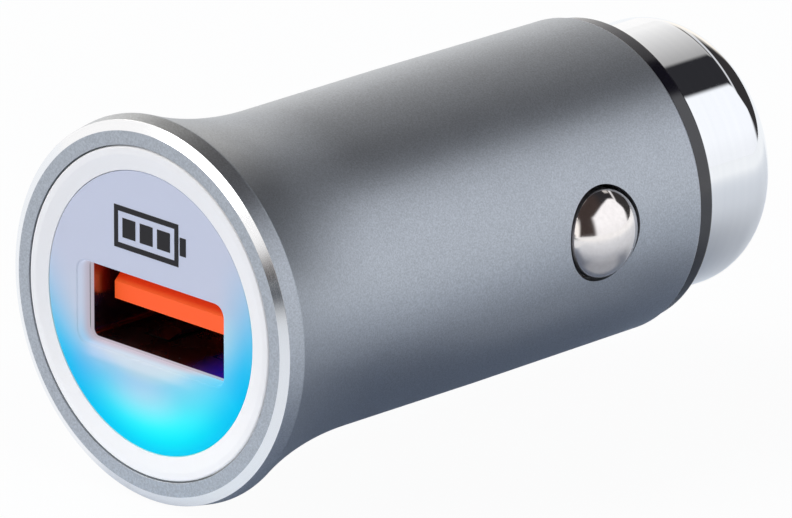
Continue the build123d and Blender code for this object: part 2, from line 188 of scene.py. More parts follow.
def bevelCorner(piece, place, rounding):
    mesh = bmesh.from_edit_mesh(piece.data)
    for vertex in mesh.verts:
        vertex.select_set((vertex.co - place).length < nearReach)
    mesh.select_flush_mode()
    bmesh.update_edit_mesh(piece.data)
    segments = next(count for limit, count in roundingSteps if rounding < limit)
    bpy.ops.mesh.bevel(offset=rounding, offset_type='OFFSET', segments=segments, affect='VERTICES')


# A profile starts as one point, which is extruded from corner to corner and then rounded there.
# The piece is left in edit mode, with all of its line selected.
def drawProfile(name, places, roundings):
    clearSelection()
    bpy.ops.mesh.primitive_plane_add(size=1 * mm)
    piece = namePiece(name)
    bpy.ops.object.mode_set(mode='EDIT')
    bpy.ops.mesh.select_mode(type='VERT')
    bpy.ops.mesh.merge(type='CENTER')
    bpy.ops.transform.translate(value=places[0])
    for here, there in zip(places, places[1:]):
        bpy.ops.mesh.extrude_region_move(TRANSFORM_OT_translate={"value": there - here})
    bpy.ops.mesh.select_all(action='SELECT')
    bpy.ops.mesh.remove_doubles(threshold=mergeReach)
    for place, rounding in zip(places, roundings):
        if rounding > 0:
            bevelCorner(piece, place, rounding)
    bpy.ops.mesh.select_all(action='SELECT')
    return piece


# Each corner of a turned piece is (radius, distance along the axis, rounding)
def turnPiece(name, corners, steps=192, centre=(0, 0, 0), axis=(0, 1, 0), across=(1, 0, 0)):
    centre, axis, across = Vector(centre), Vector(axis), Vector(across)
    places = [centre + across * corner[0] + axis * corner[1] for corner in corners]
    piece = drawProfile(name, places, [corner[2] for corner in corners])
    bpy.ops.mesh.spin(steps=steps, angle=2 * math.pi, center=centre, axis=axis)
    bpy.ops.mesh.select_all(action='SELECT')
    bpy.ops.mesh.remove_doubles(threshold=mergeReach)
    bpy.ops.mesh.normals_make_consistent(inside=False)
    bpy.ops.object.mode_set(mode='OBJECT')
    return piece


def arcCorners(centreR, centreY, radius, start, end, count):
    angles = [math.radians(start + (end - start) * step / count) for step in range(count + 1)]
    return [(centreR + radius * math.cos(a), centreY + radius * math.sin(a), 0) for a in angles]


def coat(piece, node, slotName, *finishes):
    for finish in finishes:
        piece.data.materials.append(finish)
    if node:
        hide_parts(node)


def dress(piece, body, node, slotName, *finishes):
    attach(piece, body)
    coat(piece, node, slotName, *finishes)


# Node helpers

def addNode(tree, kind, **settings):
    node = tree.nodes.new(kind)
    for key, value in settings.items():
        setattr(node, key, value)
    return node


# A socket takes a number, a colour or the output of another node
def put(tree, socket, value):
    if isinstance(value, (int, float)):
        socket.default_value = value
    elif isinstance(value, tuple):
        socket.default_value = (*value, 1)
    else:
        tree.links.new(value, socket)


def calculate(tree, operation, *values):
    node = addNode(tree, 'ShaderNodeMath', operation=operation)
    for socket, value in zip(node.inputs, values):
        put(tree, socket, value)
    return node.outputs[0]


def product(tree, result, *others):
    for other in others:
        result = calculate(tree, 'MULTIPLY', result, other)
    return result


def largest(tree, result, *others):
    for other in others:
        result = calculate(tree, 'MAXIMUM', result, other)
    return result


def distanceOf(tree, first, second):
    square = product(tree, second, second)
    return calculate(tree, 'SQRT', calculate(tree, 'MULTIPLY_ADD', first, first, square))


def shareOf(tree, amount, first, second):
    rest = product(tree, calculate(tree, 'SUBTRACT', 1.0, amount), first)
    return calculate(tree, 'MULTIPLY_ADD', amount, second, rest)


def fade(tree, value, fromLow, fromHigh, toLow=0.0, toHigh=1.0, style='SMOOTHSTEP'):
    node = addNode(tree, 'ShaderNodeMapRange', interpolation_type=style)
    tree.links.new(value, node.inputs["Value"])
    limits = {"From Min": fromLow, "From Max": fromHigh, "To Min": toLow, "To Max": toHigh}
    for socket, limit in limits.items():
        node.inputs[socket].default_value = limit
    return node.outputs["Result"]


# A level that rises and falls again: where the rise starts and ends, and where the fall starts and ends
def reachOf(tree, value, reach):
    return product(tree, fade(tree, value, reach[0], reach[1]), fade(tree, value, reach[3], reach[2]))


# A level that rises in two steps, each with its start, end and share
def twoSteps(tree, value, first, second):
    low = fade(tree, value, first[0], first[1], 0.0, first[2])
    return calculate(tree, 'ADD', low, fade(tree, value, second[0], second[1], 0.0, second[2]))


def blendColours(tree, amount, first, second, style='MIX'):
    node = addNode(tree, 'ShaderNodeMix', data_type='RGBA', blend_type=style)
    colours = [socket for socket in node.inputs if socket.type == 'RGBA']
    for socket, value in zip((node.inputs[0], *colours), (amount, first, second)):
        put(tree, socket, value)
    return next(socket for socket in node.outputs if socket.type == 'RGBA')


def addColours(tree, first, second):
    return blendColours(tree, 1.0, first, second, 'ADD')


def dimmed(tree, amount, colour):
    return blendColours(tree, amount, noLight, colour)


def placeOf(tree, source="Object", scale=1.0):
    place = addNode(tree, 'ShaderNodeTexCoord').outputs[source]
    if scale != 1.0:
        mapping = addNode(tree, 'ShaderNodeMapping')
        mapping.inputs["Scale"].default_value = (scale, scale, scale)
        tree.links.new(place, mapping.inputs["Vector"])
        place = mapping.outputs[0]
    split = addNode(tree, 'ShaderNodeSeparateXYZ')
    tree.links.new(place, split.inputs[0])
    return split.outputs["X"], split.outputs["Y"], split.outputs["Z"]


def addNoise(tree, scale, detail=2.0, roughness=0.5):
    noise = addNode(tree, 'ShaderNodeTexNoise')
    noise.inputs["Detail"].default_value = detail
    noise.inputs["Roughness"].default_value = roughness
    tree.links.new(addNode(tree, 'ShaderNodeTexCoord').outputs["Object"], noise.inputs["Vector"])
    tree.links.new(scale, noise.inputs["Scale"])
    return noise.outputs[0]


def newFinish(name, **constants):
    finish = bpy.data.materials.new(name)
    finish.use_nodes = True
    shader = finish.node_tree.nodes["Principled BSDF"]
    for socket, value in constants.items():
        shader.inputs[socket.replace("_", " ")].default_value = value
    return finish, finish.node_tree, shader


def newGroup(name, inputs, outputs):
    group = bpy.data.node_groups.new(name, 'ShaderNodeTree')
    for socketName, value in inputs.items():
        socket = group.interface.new_socket(socketName, in_out='INPUT', socket_type='NodeSocketFloat')
        socket.default_value = value
    for socketName in outputs:
        group.interface.new_socket(socketName, in_out='OUTPUT', socket_type='NodeSocketFloat')
    given, result = group.nodes.new('NodeGroupInput'), group.nodes.new('NodeGroupOutput')
    return group, given.outputs, result.inputs


def placeGroup(tree, group, **values):
    node = addNode(tree, 'ShaderNodeGroup', node_tree=group)
    for socket, value in values.items():
        node.inputs[socket].default_value = value
    return node.outputs


def bumpFrom(tree, shader, height, strength, distance):
    bump = addNode(tree, 'ShaderNodeBump')
    bump.inputs["Strength"].default_value = strength
    bump.inputs["Distance"].default_value = distance
    tree.links.new(height, bump.inputs["Height"])
    tree.links.new(bump.outputs["Normal"], shader.inputs["Normal"])


def setGlow(tree, colour):
    shader = tree.nodes["Principled BSDF"]
    shader.inputs["Emission Strength"].default_value = 1.0
    tree.links.new(colour, shader.inputs["Emission Color"])


def mixShaders(tree, share, first, second, output):
    mix = addNode(tree, 'ShaderNodeMixShader')
    for socket, value in zip(mix.inputs, (share, first.outputs[0], second.outputs[0])):
        tree.links.new(value, socket)
    tree.links.new(mix.outputs[0], output.inputs["Surface"])


# Shared effects

# Fine pits left by glass beads, with a slower cloudiness under them
def makeBlastGrain():
    group, given, result = newGroup("blastGrain", {"Pitch": 9000, "Cloud": 350}, ["Pits", "Cloudiness"])
    pits = addNoise(group, given["Pitch"], roughness=0.65)
    group.links.new(fade(group, pits, *pitSpan), result["Pits"])
    group.links.new(addNoise(group, given["Cloud"], detail=3.0), result["Cloudiness"])
    return group


# Rings left by a lathe tool: they run round the plug's axis and follow both its radius and its length
def makeLatheRings():
    group, given, result = newGroup("latheRings", {"Spacing": 0.05 * mm}, ["Rings", "Streaks"])
    x, y, z = placeOf(group)
    travel = calculate(group, 'ADD', distanceOf(group, x, z), y)
    turns = calculate(group, 'DIVIDE', travel, given["Spacing"])
    wave = calculate(group, 'SINE', product(group, turns, 2 * math.pi))
    group.links.new(fade(group, wave, -1, 1, style='LINEAR'), result["Rings"])
    streaks = addNode(group, 'ShaderNodeTexNoise', noise_dimensions='1D')
    streaks.inputs["Scale"].default_value = 0.6
    streaks.inputs["Detail"].default_value = 3.0
    group.links.new(turns, streaks.inputs["W"])
    group.links.new(streaks.outputs[0], result["Streaks"])
    return group


# Slight orange-peel of moulded plastic, and small changes of gloss
def makeMouldGrain():
    group, given, result = newGroup("mouldGrain", {"Pitch": 2500, "Cloud": 300}, ["Peel", "Gloss"])
    group.links.new(addNoise(group, given["Pitch"]), result["Peel"])
    group.links.new(addNoise(group, given["Cloud"], detail=4.0), result["Gloss"])
    return group


blastGrain = makeBlastGrain()
latheRings = makeLatheRings()
mouldGrain = makeMouldGrain()


# Finishes: colour, gloss and relief come from three outputs of a shared effect

def wearGroup(tree, shader, effect, masks, dark, light, rough, depth, relief):
    colour, gloss, height = [effect[mask] for mask in masks]
    put(tree, shader.inputs["Base Color"], blendColours(tree, colour, dark, light))
    put(tree, shader.inputs["Roughness"], fade(tree, gloss, *noiseSpan, *rough))
    bumpFrom(tree, shader, height, depth, relief)


def makeMetal(name, pitch, **look):
    finish, tree, shader = newFinish(name, Metallic=1.0)
    effect = placeGroup(tree, blastGrain, Pitch=pitch)
    wearGroup(tree, shader, effect, ("Pits", "Cloudiness", "Pits"), relief=grainRelief, **look)
    return finish


def makeTurnedMetal(name, spacing, **look):
    finish, tree, shader = newFinish(name, Metallic=1.0)
    effect = placeGroup(tree, latheRings, Spacing=spacing)
    wearGroup(tree, shader, effect, ("Streaks", "Streaks", "Rings"), relief=ringRelief, **look)
    return finish


def makePlastic(name, look, **constants):
    finish, tree, shader = newFinish(name, **constants)
    effect = placeGroup(tree, mouldGrain)
    wearGroup(tree, shader, effect, ("Gloss", "Gloss", "Peel"), relief=grainRelief, **look)
    return finish


# Housing: turned and bead-blasted, with a diamond-cut chamfer

housing = {
    "barrelR": 10.40 * mm,
    "straightEndY": 11.50 * mm,
    "rearR": 10.27 * mm,
    "rearEdge": 0.25 * mm,
    "rearRound": 0.08 * mm,
    "faceRingR": 11.77 * mm,
    "chamferR": 12.41 * mm,
    "chamferDepth": 0.30 * mm,
    "chamferRound": 0.02 * mm,
    "rimDepth": 1.40 * mm,
    "creaseRound": 0.10 * mm,
    "boreR": 9.20 * mm,
    "boreRound": 0.05 * mm,
    "boreSlack": 0.01 * mm,
    "seatR": 10.86 * mm,
    "seatRound": 0.03 * mm,
    "seatDepth": 3.20 * mm,
    "flareSteps": 28,
    "turnSteps": 256,
    "holeR": 3.13 * mm,
    "holeSides": 96,
    "flatFacing": 0.97,
    "blasted": dict(
        dark=(0.402, 0.428, 0.468), light=(0.546, 0.582, 0.636), rough=(0.40, 0.43), pitch=9000, depth=0.35
    ),
    "cut": dict(
        dark=(0.86, 0.87, 0.89), light=(0.95, 0.95, 0.96), rough=(0.08, 0.14), spacing=0.05 * mm, depth=0.10
    ),
    "bored": dict(
        dark=(0.50, 0.50, 0.51), light=(0.62, 0.62, 0.63), rough=(0.30, 0.42), spacing=0.12 * mm, depth=0.3
    ),
}

# Where the side contacts stand, and which way the right one faces
contact = {
    "tilt": math.radians(3.3),
    "y": (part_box("side_contact_right")[0].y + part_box("side_contact_right")[1].y) / 2,
}
contact["outward"] = Vector((math.cos(contact["tilt"]), 0, math.sin(contact["tilt"])))
contact["centre"] = Vector((0, contact["y"], 0))


def makeHousing(h):
    crease = faceY + h["rimDepth"]
    widen = rimR - h["barrelR"]
    flareR = (widen ** 2 + crease ** 2) / (2 * widen)
    sweep = math.degrees(math.asin(-crease / flareR))
    flare = arcCorners(h["barrelR"] + flareR, 0, flareR, 180 + sweep, 180, h["flareSteps"])
    flare[0] = (rimR, crease, h["creaseRound"])
    corners = [
        (h["seatR"], faceY, h["seatRound"]),
        (h["faceRingR"], faceY, h["chamferRound"]),
        (h["chamferR"], faceY + h["chamferDepth"], h["chamferRound"]),
        *flare,
        (h["barrelR"], h["straightEndY"], 0),
        (h["rearR"], rearY - h["rearEdge"], h["rearRound"]),
        (h["rearR"] - h["rearEdge"], rearY, h["rearRound"]),
        (h["boreR"], rearY, h["boreRound"]),
        (h["boreR"], faceY + h["seatDepth"], h["boreRound"]),
        (h["seatR"], faceY + h["seatDepth"], 0),
        (h["seatR"], faceY, 0),
    ]
    piece = turnPiece("housingTube", corners, steps=h["turnSteps"])
    clearSelection()
    bpy.ops.mesh.primitive_cylinder_add(
        vertices=h["holeSides"], radius=h["holeR"], depth=4 * rimR, location=contact["centre"],
        rotation=(0, math.pi / 2 - contact["tilt"], 0),
    )
    cutAway(piece, namePiece("holeCutter"))
    smoothShade(piece, fromAngle=20)
    blasted = makeMetal("blastedAluminium", **h["blasted"])
    diamondCut = makeTurnedMetal("diamondCut", **h["cut"])
    bored = makeTurnedMetal("boredAluminium", **h["bored"])
    dress(piece, "charger", "housing", "blasted_aluminium", blasted, diamondCut, bored)
    for face in piece.data.polygons:
        radius = math.hypot(face.center.x, face.center.z)
        onChamfer = h["faceRingR"] < radius < h["chamferR"] and face.center.y < faceY + h["chamferDepth"]
        if onChamfer and abs(face.normal.y) < h["flatFacing"]:
            face.material_index = 1
        elif radius < h["boreR"] + h["boreSlack"]:
            face.material_index = 2


makeHousing(housing)
print("housing turned and dressed")

# Bezel: white ring that holds the lit plate

bezel = {
    "gap": 0.09 * mm,
    "edge": 0.15 * mm,
    "slopeR": 10.25 * mm,
    "slopeDepth": 0.14 * mm,
    "slopeRound": 0.06 * mm,
    "windowR": 9.21 * mm,
    "windowRound": 0.03 * mm,
    "shelfR": 8.60 * mm,
    "shelfRound": 0.05 * mm,
    "skirtR": 9.15 * mm,
    "skirtRound": 0.10 * mm,
    "skirtEndY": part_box("bezel_ring")[1].y,
    "look": dict(dark=(0.885, 0.885, 0.915), light=(0.915, 0.915, 0.945), rough=(0.36, 0.42), depth=0.02),
    "litHigh": (0.05, 0.05, 0.045),
    "litLow": (0.14, 0.14, 0.13),
    "litSpan": (0.0, -9 * mm),
}


def makeBezel(b):
    outerR = housing["seatR"] - b["gap"]
    seatY = faceY + housing["seatDepth"]
    corners = [
        (b["windowR"], faceY + b["slopeDepth"], b["windowRound"]),
        (b["slopeR"], faceY, b["slopeRound"]),
        (outerR, faceY, b["edge"]),
        (outerR, seatY, b["shelfRound"]),
        (b["skirtR"], seatY, 0),
        (b["skirtR"], b["skirtEndY"], b["skirtRound"]),
        (b["shelfR"], b["skirtEndY"], b["skirtRound"]),
        (b["shelfR"], plateBackY, b["shelfRound"]),
        (b["windowR"], plateBackY, 0),
        (b["windowR"], faceY + b["slopeDepth"], 0),
    ]
    piece = turnPiece("bezelRing", corners)
    smoothShade(piece)
    white = makePlastic("whitePlastic", b["look"])
    # A painted glow, brighter below, stands for the light of the lamps behind the plate shining through the
    # ring
    tree = white.node_tree
    low = fade(tree, placeOf(tree)[2], *b["litSpan"])
    setGlow(tree, blendColours(tree, low, b["litHigh"], b["litLow"]))
    dress(piece, "charger", "bezel_ring", "white_plastic", white)


makeBezel(bezel)
print("bezel done")

# Lit plate: translucent disc with the port opening, bright at its lower rim.
# The places of its light are in millimetres, across the plate or in from its front.

plate = {
    "gap": 0.04 * mm,
    "rimEdge": 0.06 * mm,
    "portEdge": 0.15 * mm,
    "portEdgeSteps": 5,
    "portW": 13.12 * mm,
    "portH": 5.40 * mm,
    "portZ": -0.64 * mm,
    "portCorner": 0.80 * mm,
    "portCornerSteps": 8,
    "portTurn": math.radians(60),
    "specular": 0.06,
    "rough": (0.28, 0.36),
    "peel": 0.04,
    "unlit": (0.635, 0.675, 0.828),
    "litBase": (0.0, 0.295, 1.0),
    "glowX": -0.67,
    "glowZ": 2.35,
    "glowDirection": math.radians(-81),
    "glowCore": 1.0,
    "lampFacing": (-0.30, 0.64),
    "lowestFrom": (3.8, 7.45),
    "sideReach": (6.45, 10.15),
    "sideGlow": (0.0, 0.286, 0.037),
    "lowerTint": ((6.2, 7.35, 0.27), (4.4, 10.9, 0.73)),
    "lowerReach": (4.85, 11.8),
    "lowerFacing": (0.635, 1.13),
    "lowerGlow": (0.0, 1.0, 0.207),
    "rimReach": (6.65, 10.2),
    "rimGlow": (0.0, 0.217, 0.0),
    "spotGlow": (0.19, 0.0, 0.0),
    "spotZ": -5.7,
    "spotR": 2.05,
    "spotSquash": 0.5,
    "halo": (0.0, 0.075, 0.037),
    "haloReach": 2.0,
    "haloTop": (2.2, 0.5),
    "haloAcross": (-7.5, -2.0, 0.2, 1.0),
    "sill": (0.115, 0.06, 0.055),
    "sillReach": (-0.5, 0.0, 0.55, 1.0),
    "sillSpan": (-6.5, -5.0, 1.5, 4.5),
    "openingEdge": (0.6, 0.3),
    "wallDepth": (0.0, 0.08),
    "unlitSeen": (0.54, 0.585, 0.74),
    "litSeen": (0.0, 0.26, 0.90),
    "insideDepth": (0.20, 1.0),
    "insideAcross": (5.0, 1.5),
    "wallLeftGlow": (0.48, 0.445, 0.53),
    "wallGlow": (0.585, 0.515, 0.605),
    "wallAcross": (-6.5, -5.0),
}


# How far the plate takes the lamps' colour, painted into its base colour, and the painted glow that they add
def lampLight(tree, p, x, z):
    # Both are measured from a point a little above the middle, so they reach furthest in at the bottom
    fromX = calculate(tree, 'SUBTRACT', x, p["glowX"])
    fromZ = calculate(tree, 'SUBTRACT', z, p["glowZ"])
    reach = distanceOf(tree, fromX, fromZ)
    alongX = product(tree, fromX, math.cos(p["glowDirection"]))
    towards = calculate(tree, 'MULTIPLY_ADD', fromZ, math.sin(p["glowDirection"]), alongX)
    facing = calculate(tree, 'DIVIDE', towards, largest(tree, reach, p["glowCore"]))
    towardsLamps = fade(tree, facing, *p["lampFacing"])
    lowest = fade(tree, towards, *p["lowestFrom"])
    atSides = fade(tree, reach, *p["sideReach"])
    lowerTint = twoSteps(tree, reach, *p["lowerTint"])
    tint = product(tree, towardsLamps, shareOf(tree, lowest, atSides, lowerTint))
    lowerLevel = fade(tree, reach, *p["lowerReach"])
    level = product(tree, towardsLamps, shareOf(tree, lowest, atSides, lowerLevel))
    atRim = fade(tree, distanceOf(tree, x, z), *p["rimReach"])
    lowerColour = blendColours(tree, atRim, p["lowerGlow"], p["rimGlow"])
    colour = blendColours(tree, fade(tree, facing, *p["lowerFacing"]), p["sideGlow"], lowerColour)
    # The middle lamp shows as a painted paler spot under the opening
    spotX = product(tree, fromX, p["spotSquash"])
    spotZ = calculate(tree, 'SUBTRACT', z, p["spotZ"])
    spot = fade(tree, distanceOf(tree, spotX, spotZ), p["spotR"], 0.0)
    return tint, addColours(tree, dimmed(tree, level, colour), dimmed(tree, spot, p["spotGlow"]))


def makePlateFinish(p):
    finish, tree, shader = newFinish("litPlate", Specular_IOR_Level=p["specular"])
    x, y, z = placeOf(tree, scale=1 / mm)
    tint, glow = lampLight(tree, p, x, z)
    # Painted light that the plate carries to the opening: a pale halo and sill, and brighter walls
    besideX = calculate(tree, 'SUBTRACT', calculate(tree, 'ABSOLUTE', x), p["portW"] / 2 / mm)
    fromMiddle = calculate(tree, 'ABSOLUTE', calculate(tree, 'SUBTRACT', z, p["portZ"] / mm))
    besideZ = calculate(tree, 'SUBTRACT', fromMiddle, p["portH"] / 2 / mm)
    away = largest(tree, besideX, besideZ)
    halo = product(tree, fade(tree, away, p["haloReach"], 0.0), fade(tree, z, *p["haloTop"]))
    halo = product(tree, halo, fade(tree, x, *p["haloAcross"]))
    below = calculate(tree, 'SUBTRACT', (p["portZ"] - p["portH"] / 2) / mm, z)
    sill = product(tree, reachOf(tree, below, p["sillReach"]), reachOf(tree, x, p["sillSpan"]))
    depth = calculate(tree, 'SUBTRACT', y, plateFrontY / mm)
    inOpening = fade(tree, away, *p["openingEdge"])
    onWall = product(tree, fade(tree, depth, *p["wallDepth"]), inOpening)
    # Near the front the walls glow with the painted look of the lit face
    litFace = blendColours(tree, tint, p["unlitSeen"], p["litSeen"])
    for amount, colour in ((halo, p["halo"]), (onWall, litFace), (sill, p["sill"])):
        glow = addColours(tree, glow, dimmed(tree, amount, colour))
    inside = product(tree, fade(tree, depth, *p["insideDepth"]), inOpening, fade(tree, x, *p["insideAcross"]))
    # Deeper in, the walls glow with a painted colour of their own, darker at the left
    wallColour = blendColours(tree, fade(tree, x, *p["wallAcross"]), p["wallLeftGlow"], p["wallGlow"])
    setGlow(tree, blendColours(tree, inside, glow, wallColour))
    faceColour = blendColours(tree, tint, p["unlit"], p["litBase"])
    # On the walls the base colour goes black, so their look is only the painted glow
    put(tree, shader.inputs["Base Color"], blendColours(tree, onWall, faceColour, noLight))
    effect = placeGroup(tree, mouldGrain)
    put(tree, shader.inputs["Roughness"], fade(tree, effect["Gloss"], *noiseSpan, *p["rough"]))
    bumpFrom(tree, shader, effect["Peel"], p["peel"], grainRelief)
    return finish


def makePlate(p):
    discR = bezel["windowR"] - p["gap"]
    corners = [
        (0, plateFrontY, 0),
        (discR, plateFrontY, p["rimEdge"]),
        (discR, plateBackY, p["rimEdge"]),
        (0, plateBackY, 0),
    ]
    piece = turnPiece("litPlate", corners)
    halfW, halfH = p["portW"] / 2, p["portH"] / 2
    cutter = addBlock(
        "portCutter",
        (-halfW, plateFrontY - overshoot, p["portZ"] - halfH),
        (halfW, plateBackY + overshoot, p["portZ"] + halfH),
    )

    def runsInwards(edge):
        run = edge.verts[0].co - edge.verts[1].co
        return abs(run.y) > mostly * run.length

    def roundOpening(edge):
        places = [vertex.co for vertex in edge.verts]
        atFront = all(abs(place.y - plateFrontY) < nearReach for place in places)
        acrossX = all(abs(place.x) < halfW + nearReach for place in places)
        acrossZ = all(abs(place.z - p["portZ"]) < halfH + nearReach for place in places)
        turns = len(edge.link_faces) == 2 and edge.calc_face_angle() > p["portTurn"]
        return atFront and acrossX and acrossZ and turns

    bevelEdges(cutter, runsInwards, p["portCorner"], p["portCornerSteps"])
    cutAway(piece, cutter)
    bevelEdges(piece, roundOpening, p["portEdge"], p["portEdgeSteps"])
    smoothShade(piece)
    dress(piece, "charger", "face_plate", "light_plate", makePlateFinish(p))


makePlate(plate)
print("lit plate done")

# Printed mark: a plain battery with three bars, a film of ink on the plate

mark = {
    "film": 0.02 * mm,
    "lowX": -3.2 * mm,
    "highX": 2.6 * mm,
    "lowZ": 3.7 * mm,
    "highZ": 6.5 * mm,
    "line": 0.36 * mm,
    "nubW": 0.55 * mm,
    "nubH": 1.2 * mm,
    "nubGap": 0.12 * mm,
    "barGap": 0.40 * mm,
    "barCount": 3,
    "specular": 0.2,
    "look": dict(dark=(0.014, 0.013, 0.016), light=(0.024, 0.023, 0.027), rough=(0.5, 0.6), depth=0.02),
}


def makeMark(m):
    inkY = plateFrontY - m["film"]
    midZ = (m["lowZ"] + m["highZ"]) / 2
    piece = addBlock("chargeMark", (m["lowX"], inkY, m["lowZ"]), (m["highX"], plateFrontY, m["highZ"]))
    window = addBlock(
        "markWindow",
        (m["lowX"] + m["line"], inkY - overshoot, m["lowZ"] + m["line"]),
        (m["highX"] - m["line"], plateFrontY + overshoot, m["highZ"] - m["line"]),
    )
    cutAway(piece, window)
    inset = m["line"] + m["barGap"]
    room = m["highX"] - m["lowX"] - 2 * inset
    barW = (room - (m["barCount"] - 1) * m["barGap"]) / m["barCount"]
    bar = addBlock(
        "markBar",
        (m["lowX"] + inset, inkY, m["lowZ"] + inset),
        (m["lowX"] + inset + barW, plateFrontY, m["highZ"] - inset),
    )
    parts = [piece, bar]
    for index in range(1, m["barCount"]):
        takeUp(bar)
        bpy.ops.object.duplicate()
        bpy.ops.transform.translate(value=(index * (barW + m["barGap"]), 0, 0))
        parts.append(bpy.context.object)
    nubX = m["highX"] + m["nubGap"]
    nubLow = (nubX, inkY, midZ - m["nubH"] / 2)
    nubHigh = (nubX + m["nubW"], plateFrontY, midZ + m["nubH"] / 2)
    parts.append(addBlock("markNub", nubLow, nubHigh))
    takeUp(piece)
    for part in parts:
        part.select_set(True)
    settle()
    bpy.ops.object.join()
    ink = makePlastic("printedInk", m["look"], Specular_IOR_Level=m["specular"])
    dress(piece, "charger", None, "black_plastic", ink)


makeMark(mark)
print("mark printed")

# Tongue: orange moulding with a bevelled nose, and the block that closes the receptacle

tongue = {
    "w": 11.10 * mm,
    "t": 1.84 * mm,
    "bevel": 0.70 * mm,
    "blockLen": 3.60 * mm,
    "blockW": 12.44 * mm,
    "blockH": 5.06 * mm,
    "drop": 0.95 * mm,
    "mouthH": 5.12 * mm,
    "grooveW": 1.04 * mm,
    "grooveT": 0.27 * mm,
    "grooveSlack": 0.02 * mm,
    "grooves": ("usb_contact_vbus", "usb_contact_data_minus", "usb_contact_data_plus", "usb_contact_ground"),
    "edge": 0.08 * mm,
    "specular": 0.3,
    "look": dict(dark=(0.90, 0.050, 0.004), light=(0.95, 0.064, 0.006), rough=(0.35, 0.45), depth=0.05),
    "litFront": (0.32, 0.065, 0.013),
    "litDepth": 0.30 * mm,
    "litBevel": (0.22, 0.004, 0.0),
    "litBevelDepth": 1.10 * mm,
}


def makeTongueFinish(t, frontY):
    orange = makePlastic("orangePlastic", t["look"], Specular_IOR_Level=t["specular"])
    tree = orange.node_tree
    y = placeOf(tree)[1]
    # The nose's front face and its bevel get a painted glow, strongest on the front face, for the light that
    # comes in through the opening
    nearFront = fade(tree, y, frontY + t["litDepth"], frontY)
    nearBevel = fade(tree, y, frontY + t["litBevelDepth"], frontY + t["litDepth"])
    setGlow(tree, blendColours(tree, nearFront, dimmed(tree, nearBevel, t["litBevel"]), t["litFront"]))
    return orange


def makeTongue(t):
    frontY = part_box("usb_tongue")[0].y
    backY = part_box("usb_tongue")[1].y
    blockY = backY - t["blockLen"]
    topZ = plate["portZ"] + t["mouthH"] / 2 - t["drop"]
    underZ = topZ - t["t"]
    piece = addBlock("tongue", (-t["w"] / 2, frontY, underZ), (t["w"] / 2, blockY, topZ))

    def atNose(edge):
        middle = (edge.verts[0].co + edge.verts[1].co) / 2
        return abs(middle.y - frontY) < nearReach and abs(middle.z - topZ) < nearReach

    bevelEdges(piece, atNose, t["bevel"], segments=1)
    # The back face is grown to the block's outline and drawn back
    pick(piece, 'FACE', lambda face: face.normal.y > mostly)
    bpy.ops.mesh.extrude_region_move()
    bpy.ops.transform.resize(value=(t["blockW"] / t["w"], 1, t["blockH"] / t["t"]))
    bpy.ops.transform.translate(value=(0, 0, plate["portZ"] - (topZ + underZ) / 2))
    bpy.ops.mesh.extrude_region_move(TRANSFORM_OT_translate={"value": (0, t["blockLen"], 0)})
    bpy.ops.object.mode_set(mode='OBJECT')
    for name in t["grooves"]:
        low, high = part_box(name)
        middleX = (low.x + high.x) / 2
        groove = addBlock(
            "grooveCutter",
            (middleX - t["grooveW"] / 2, low.y - t["grooveSlack"], underZ - t["grooveSlack"]),
            (middleX + t["grooveW"] / 2, backY + overshoot, underZ + t["grooveT"]),
        )
        cutAway(piece, groove)
    softenEdges(piece, t["edge"], fromAngle=30)
    smoothShade(piece)
    dress(piece, "charger", "usb_tongue", "orange_plastic", makeTongueFinish(t, frontY))


makeTongue(tongue)
print("tongue done")

# Side contacts: drawn steel domes, modelled once on the right and copied to the left

dome = {
    "r": 2.90 * mm,
    "brimR": 3.60 * mm,
    "brimAt": 7.75 * mm,
    "brimRound": 0.08 * mm,
    "sheet": 0.40 * mm,
    "shoulder": 10.30 * mm,
    "top": 11.70 * mm,
    "round": 1.20 * mm,
    "roundSteps": 8,
    "crownSteps": 16,
    "turnSteps": 128,
    "look": dict(
        dark=(0.92, 0.865, 0.835), light=(0.98, 0.925, 0.895), rough=(0.07, 0.13), pitch=2500, depth=0.03
    ),
}


def makeDomes(d):
    rise = d["top"] - d["shoulder"]
    crownR = (d["r"] ** 2 + rise ** 2) / (2 * rise)
    crownAt = d["top"] - crownR
    # The rounded shoulder touches the wall and the crown
    roundIn = d["r"] - d["round"]
    roundUp = math.sqrt((crownR - d["round"]) ** 2 - roundIn ** 2)
    roundAt = crownAt + roundUp
    meet = math.degrees(math.atan2(roundUp, roundIn))
    innerCrown = arcCorners(0, crownAt, crownR - d["sheet"], 90, meet, d["crownSteps"])
    innerRound = arcCorners(roundIn, roundAt, d["round"] - d["sheet"], meet, 0, d["roundSteps"])
    outerRound = arcCorners(roundIn, roundAt, d["round"], 0, meet, d["roundSteps"])
    outerCrown = arcCorners(0, crownAt, crownR, meet, 90, d["crownSteps"])
    corners = [
        *innerCrown,
        *innerRound[1:],
        (d["r"] - d["sheet"], d["brimAt"], 0),
        (d["brimR"], d["brimAt"], d["brimRound"]),
        (d["brimR"], d["brimAt"] + d["sheet"], d["brimRound"]),
        (d["r"], d["brimAt"] + d["sheet"], 0),
        *outerRound,
        *outerCrown[1:],
    ]
    right = turnPiece(
        "sideDomeRight", corners, steps=d["turnSteps"],
        centre=contact["centre"], axis=contact["outward"], across=(0, 1, 0),
    )
    smoothShade(right, fromAngle=50)
    steel = makeMetal("drawnSteel", **d["look"])
    takeUp(right)
    bpy.ops.object.duplicate()
    left = namePiece("sideDomeLeft")
    bpy.ops.transform.rotate(value=math.pi, orient_axis='Y', center_override=(0, 0, 0))
    settle()
    dress(right, "side_contact_right", "side_contact_right", "contact_steel", steel)
    dress(left, "side_contact_left", "side_contact_left", "contact_steel", steel)


makeDomes(dome)
print("side contacts done")

# Insulator: black plug, the ring that shows behind the housing, and the spigot of the nose

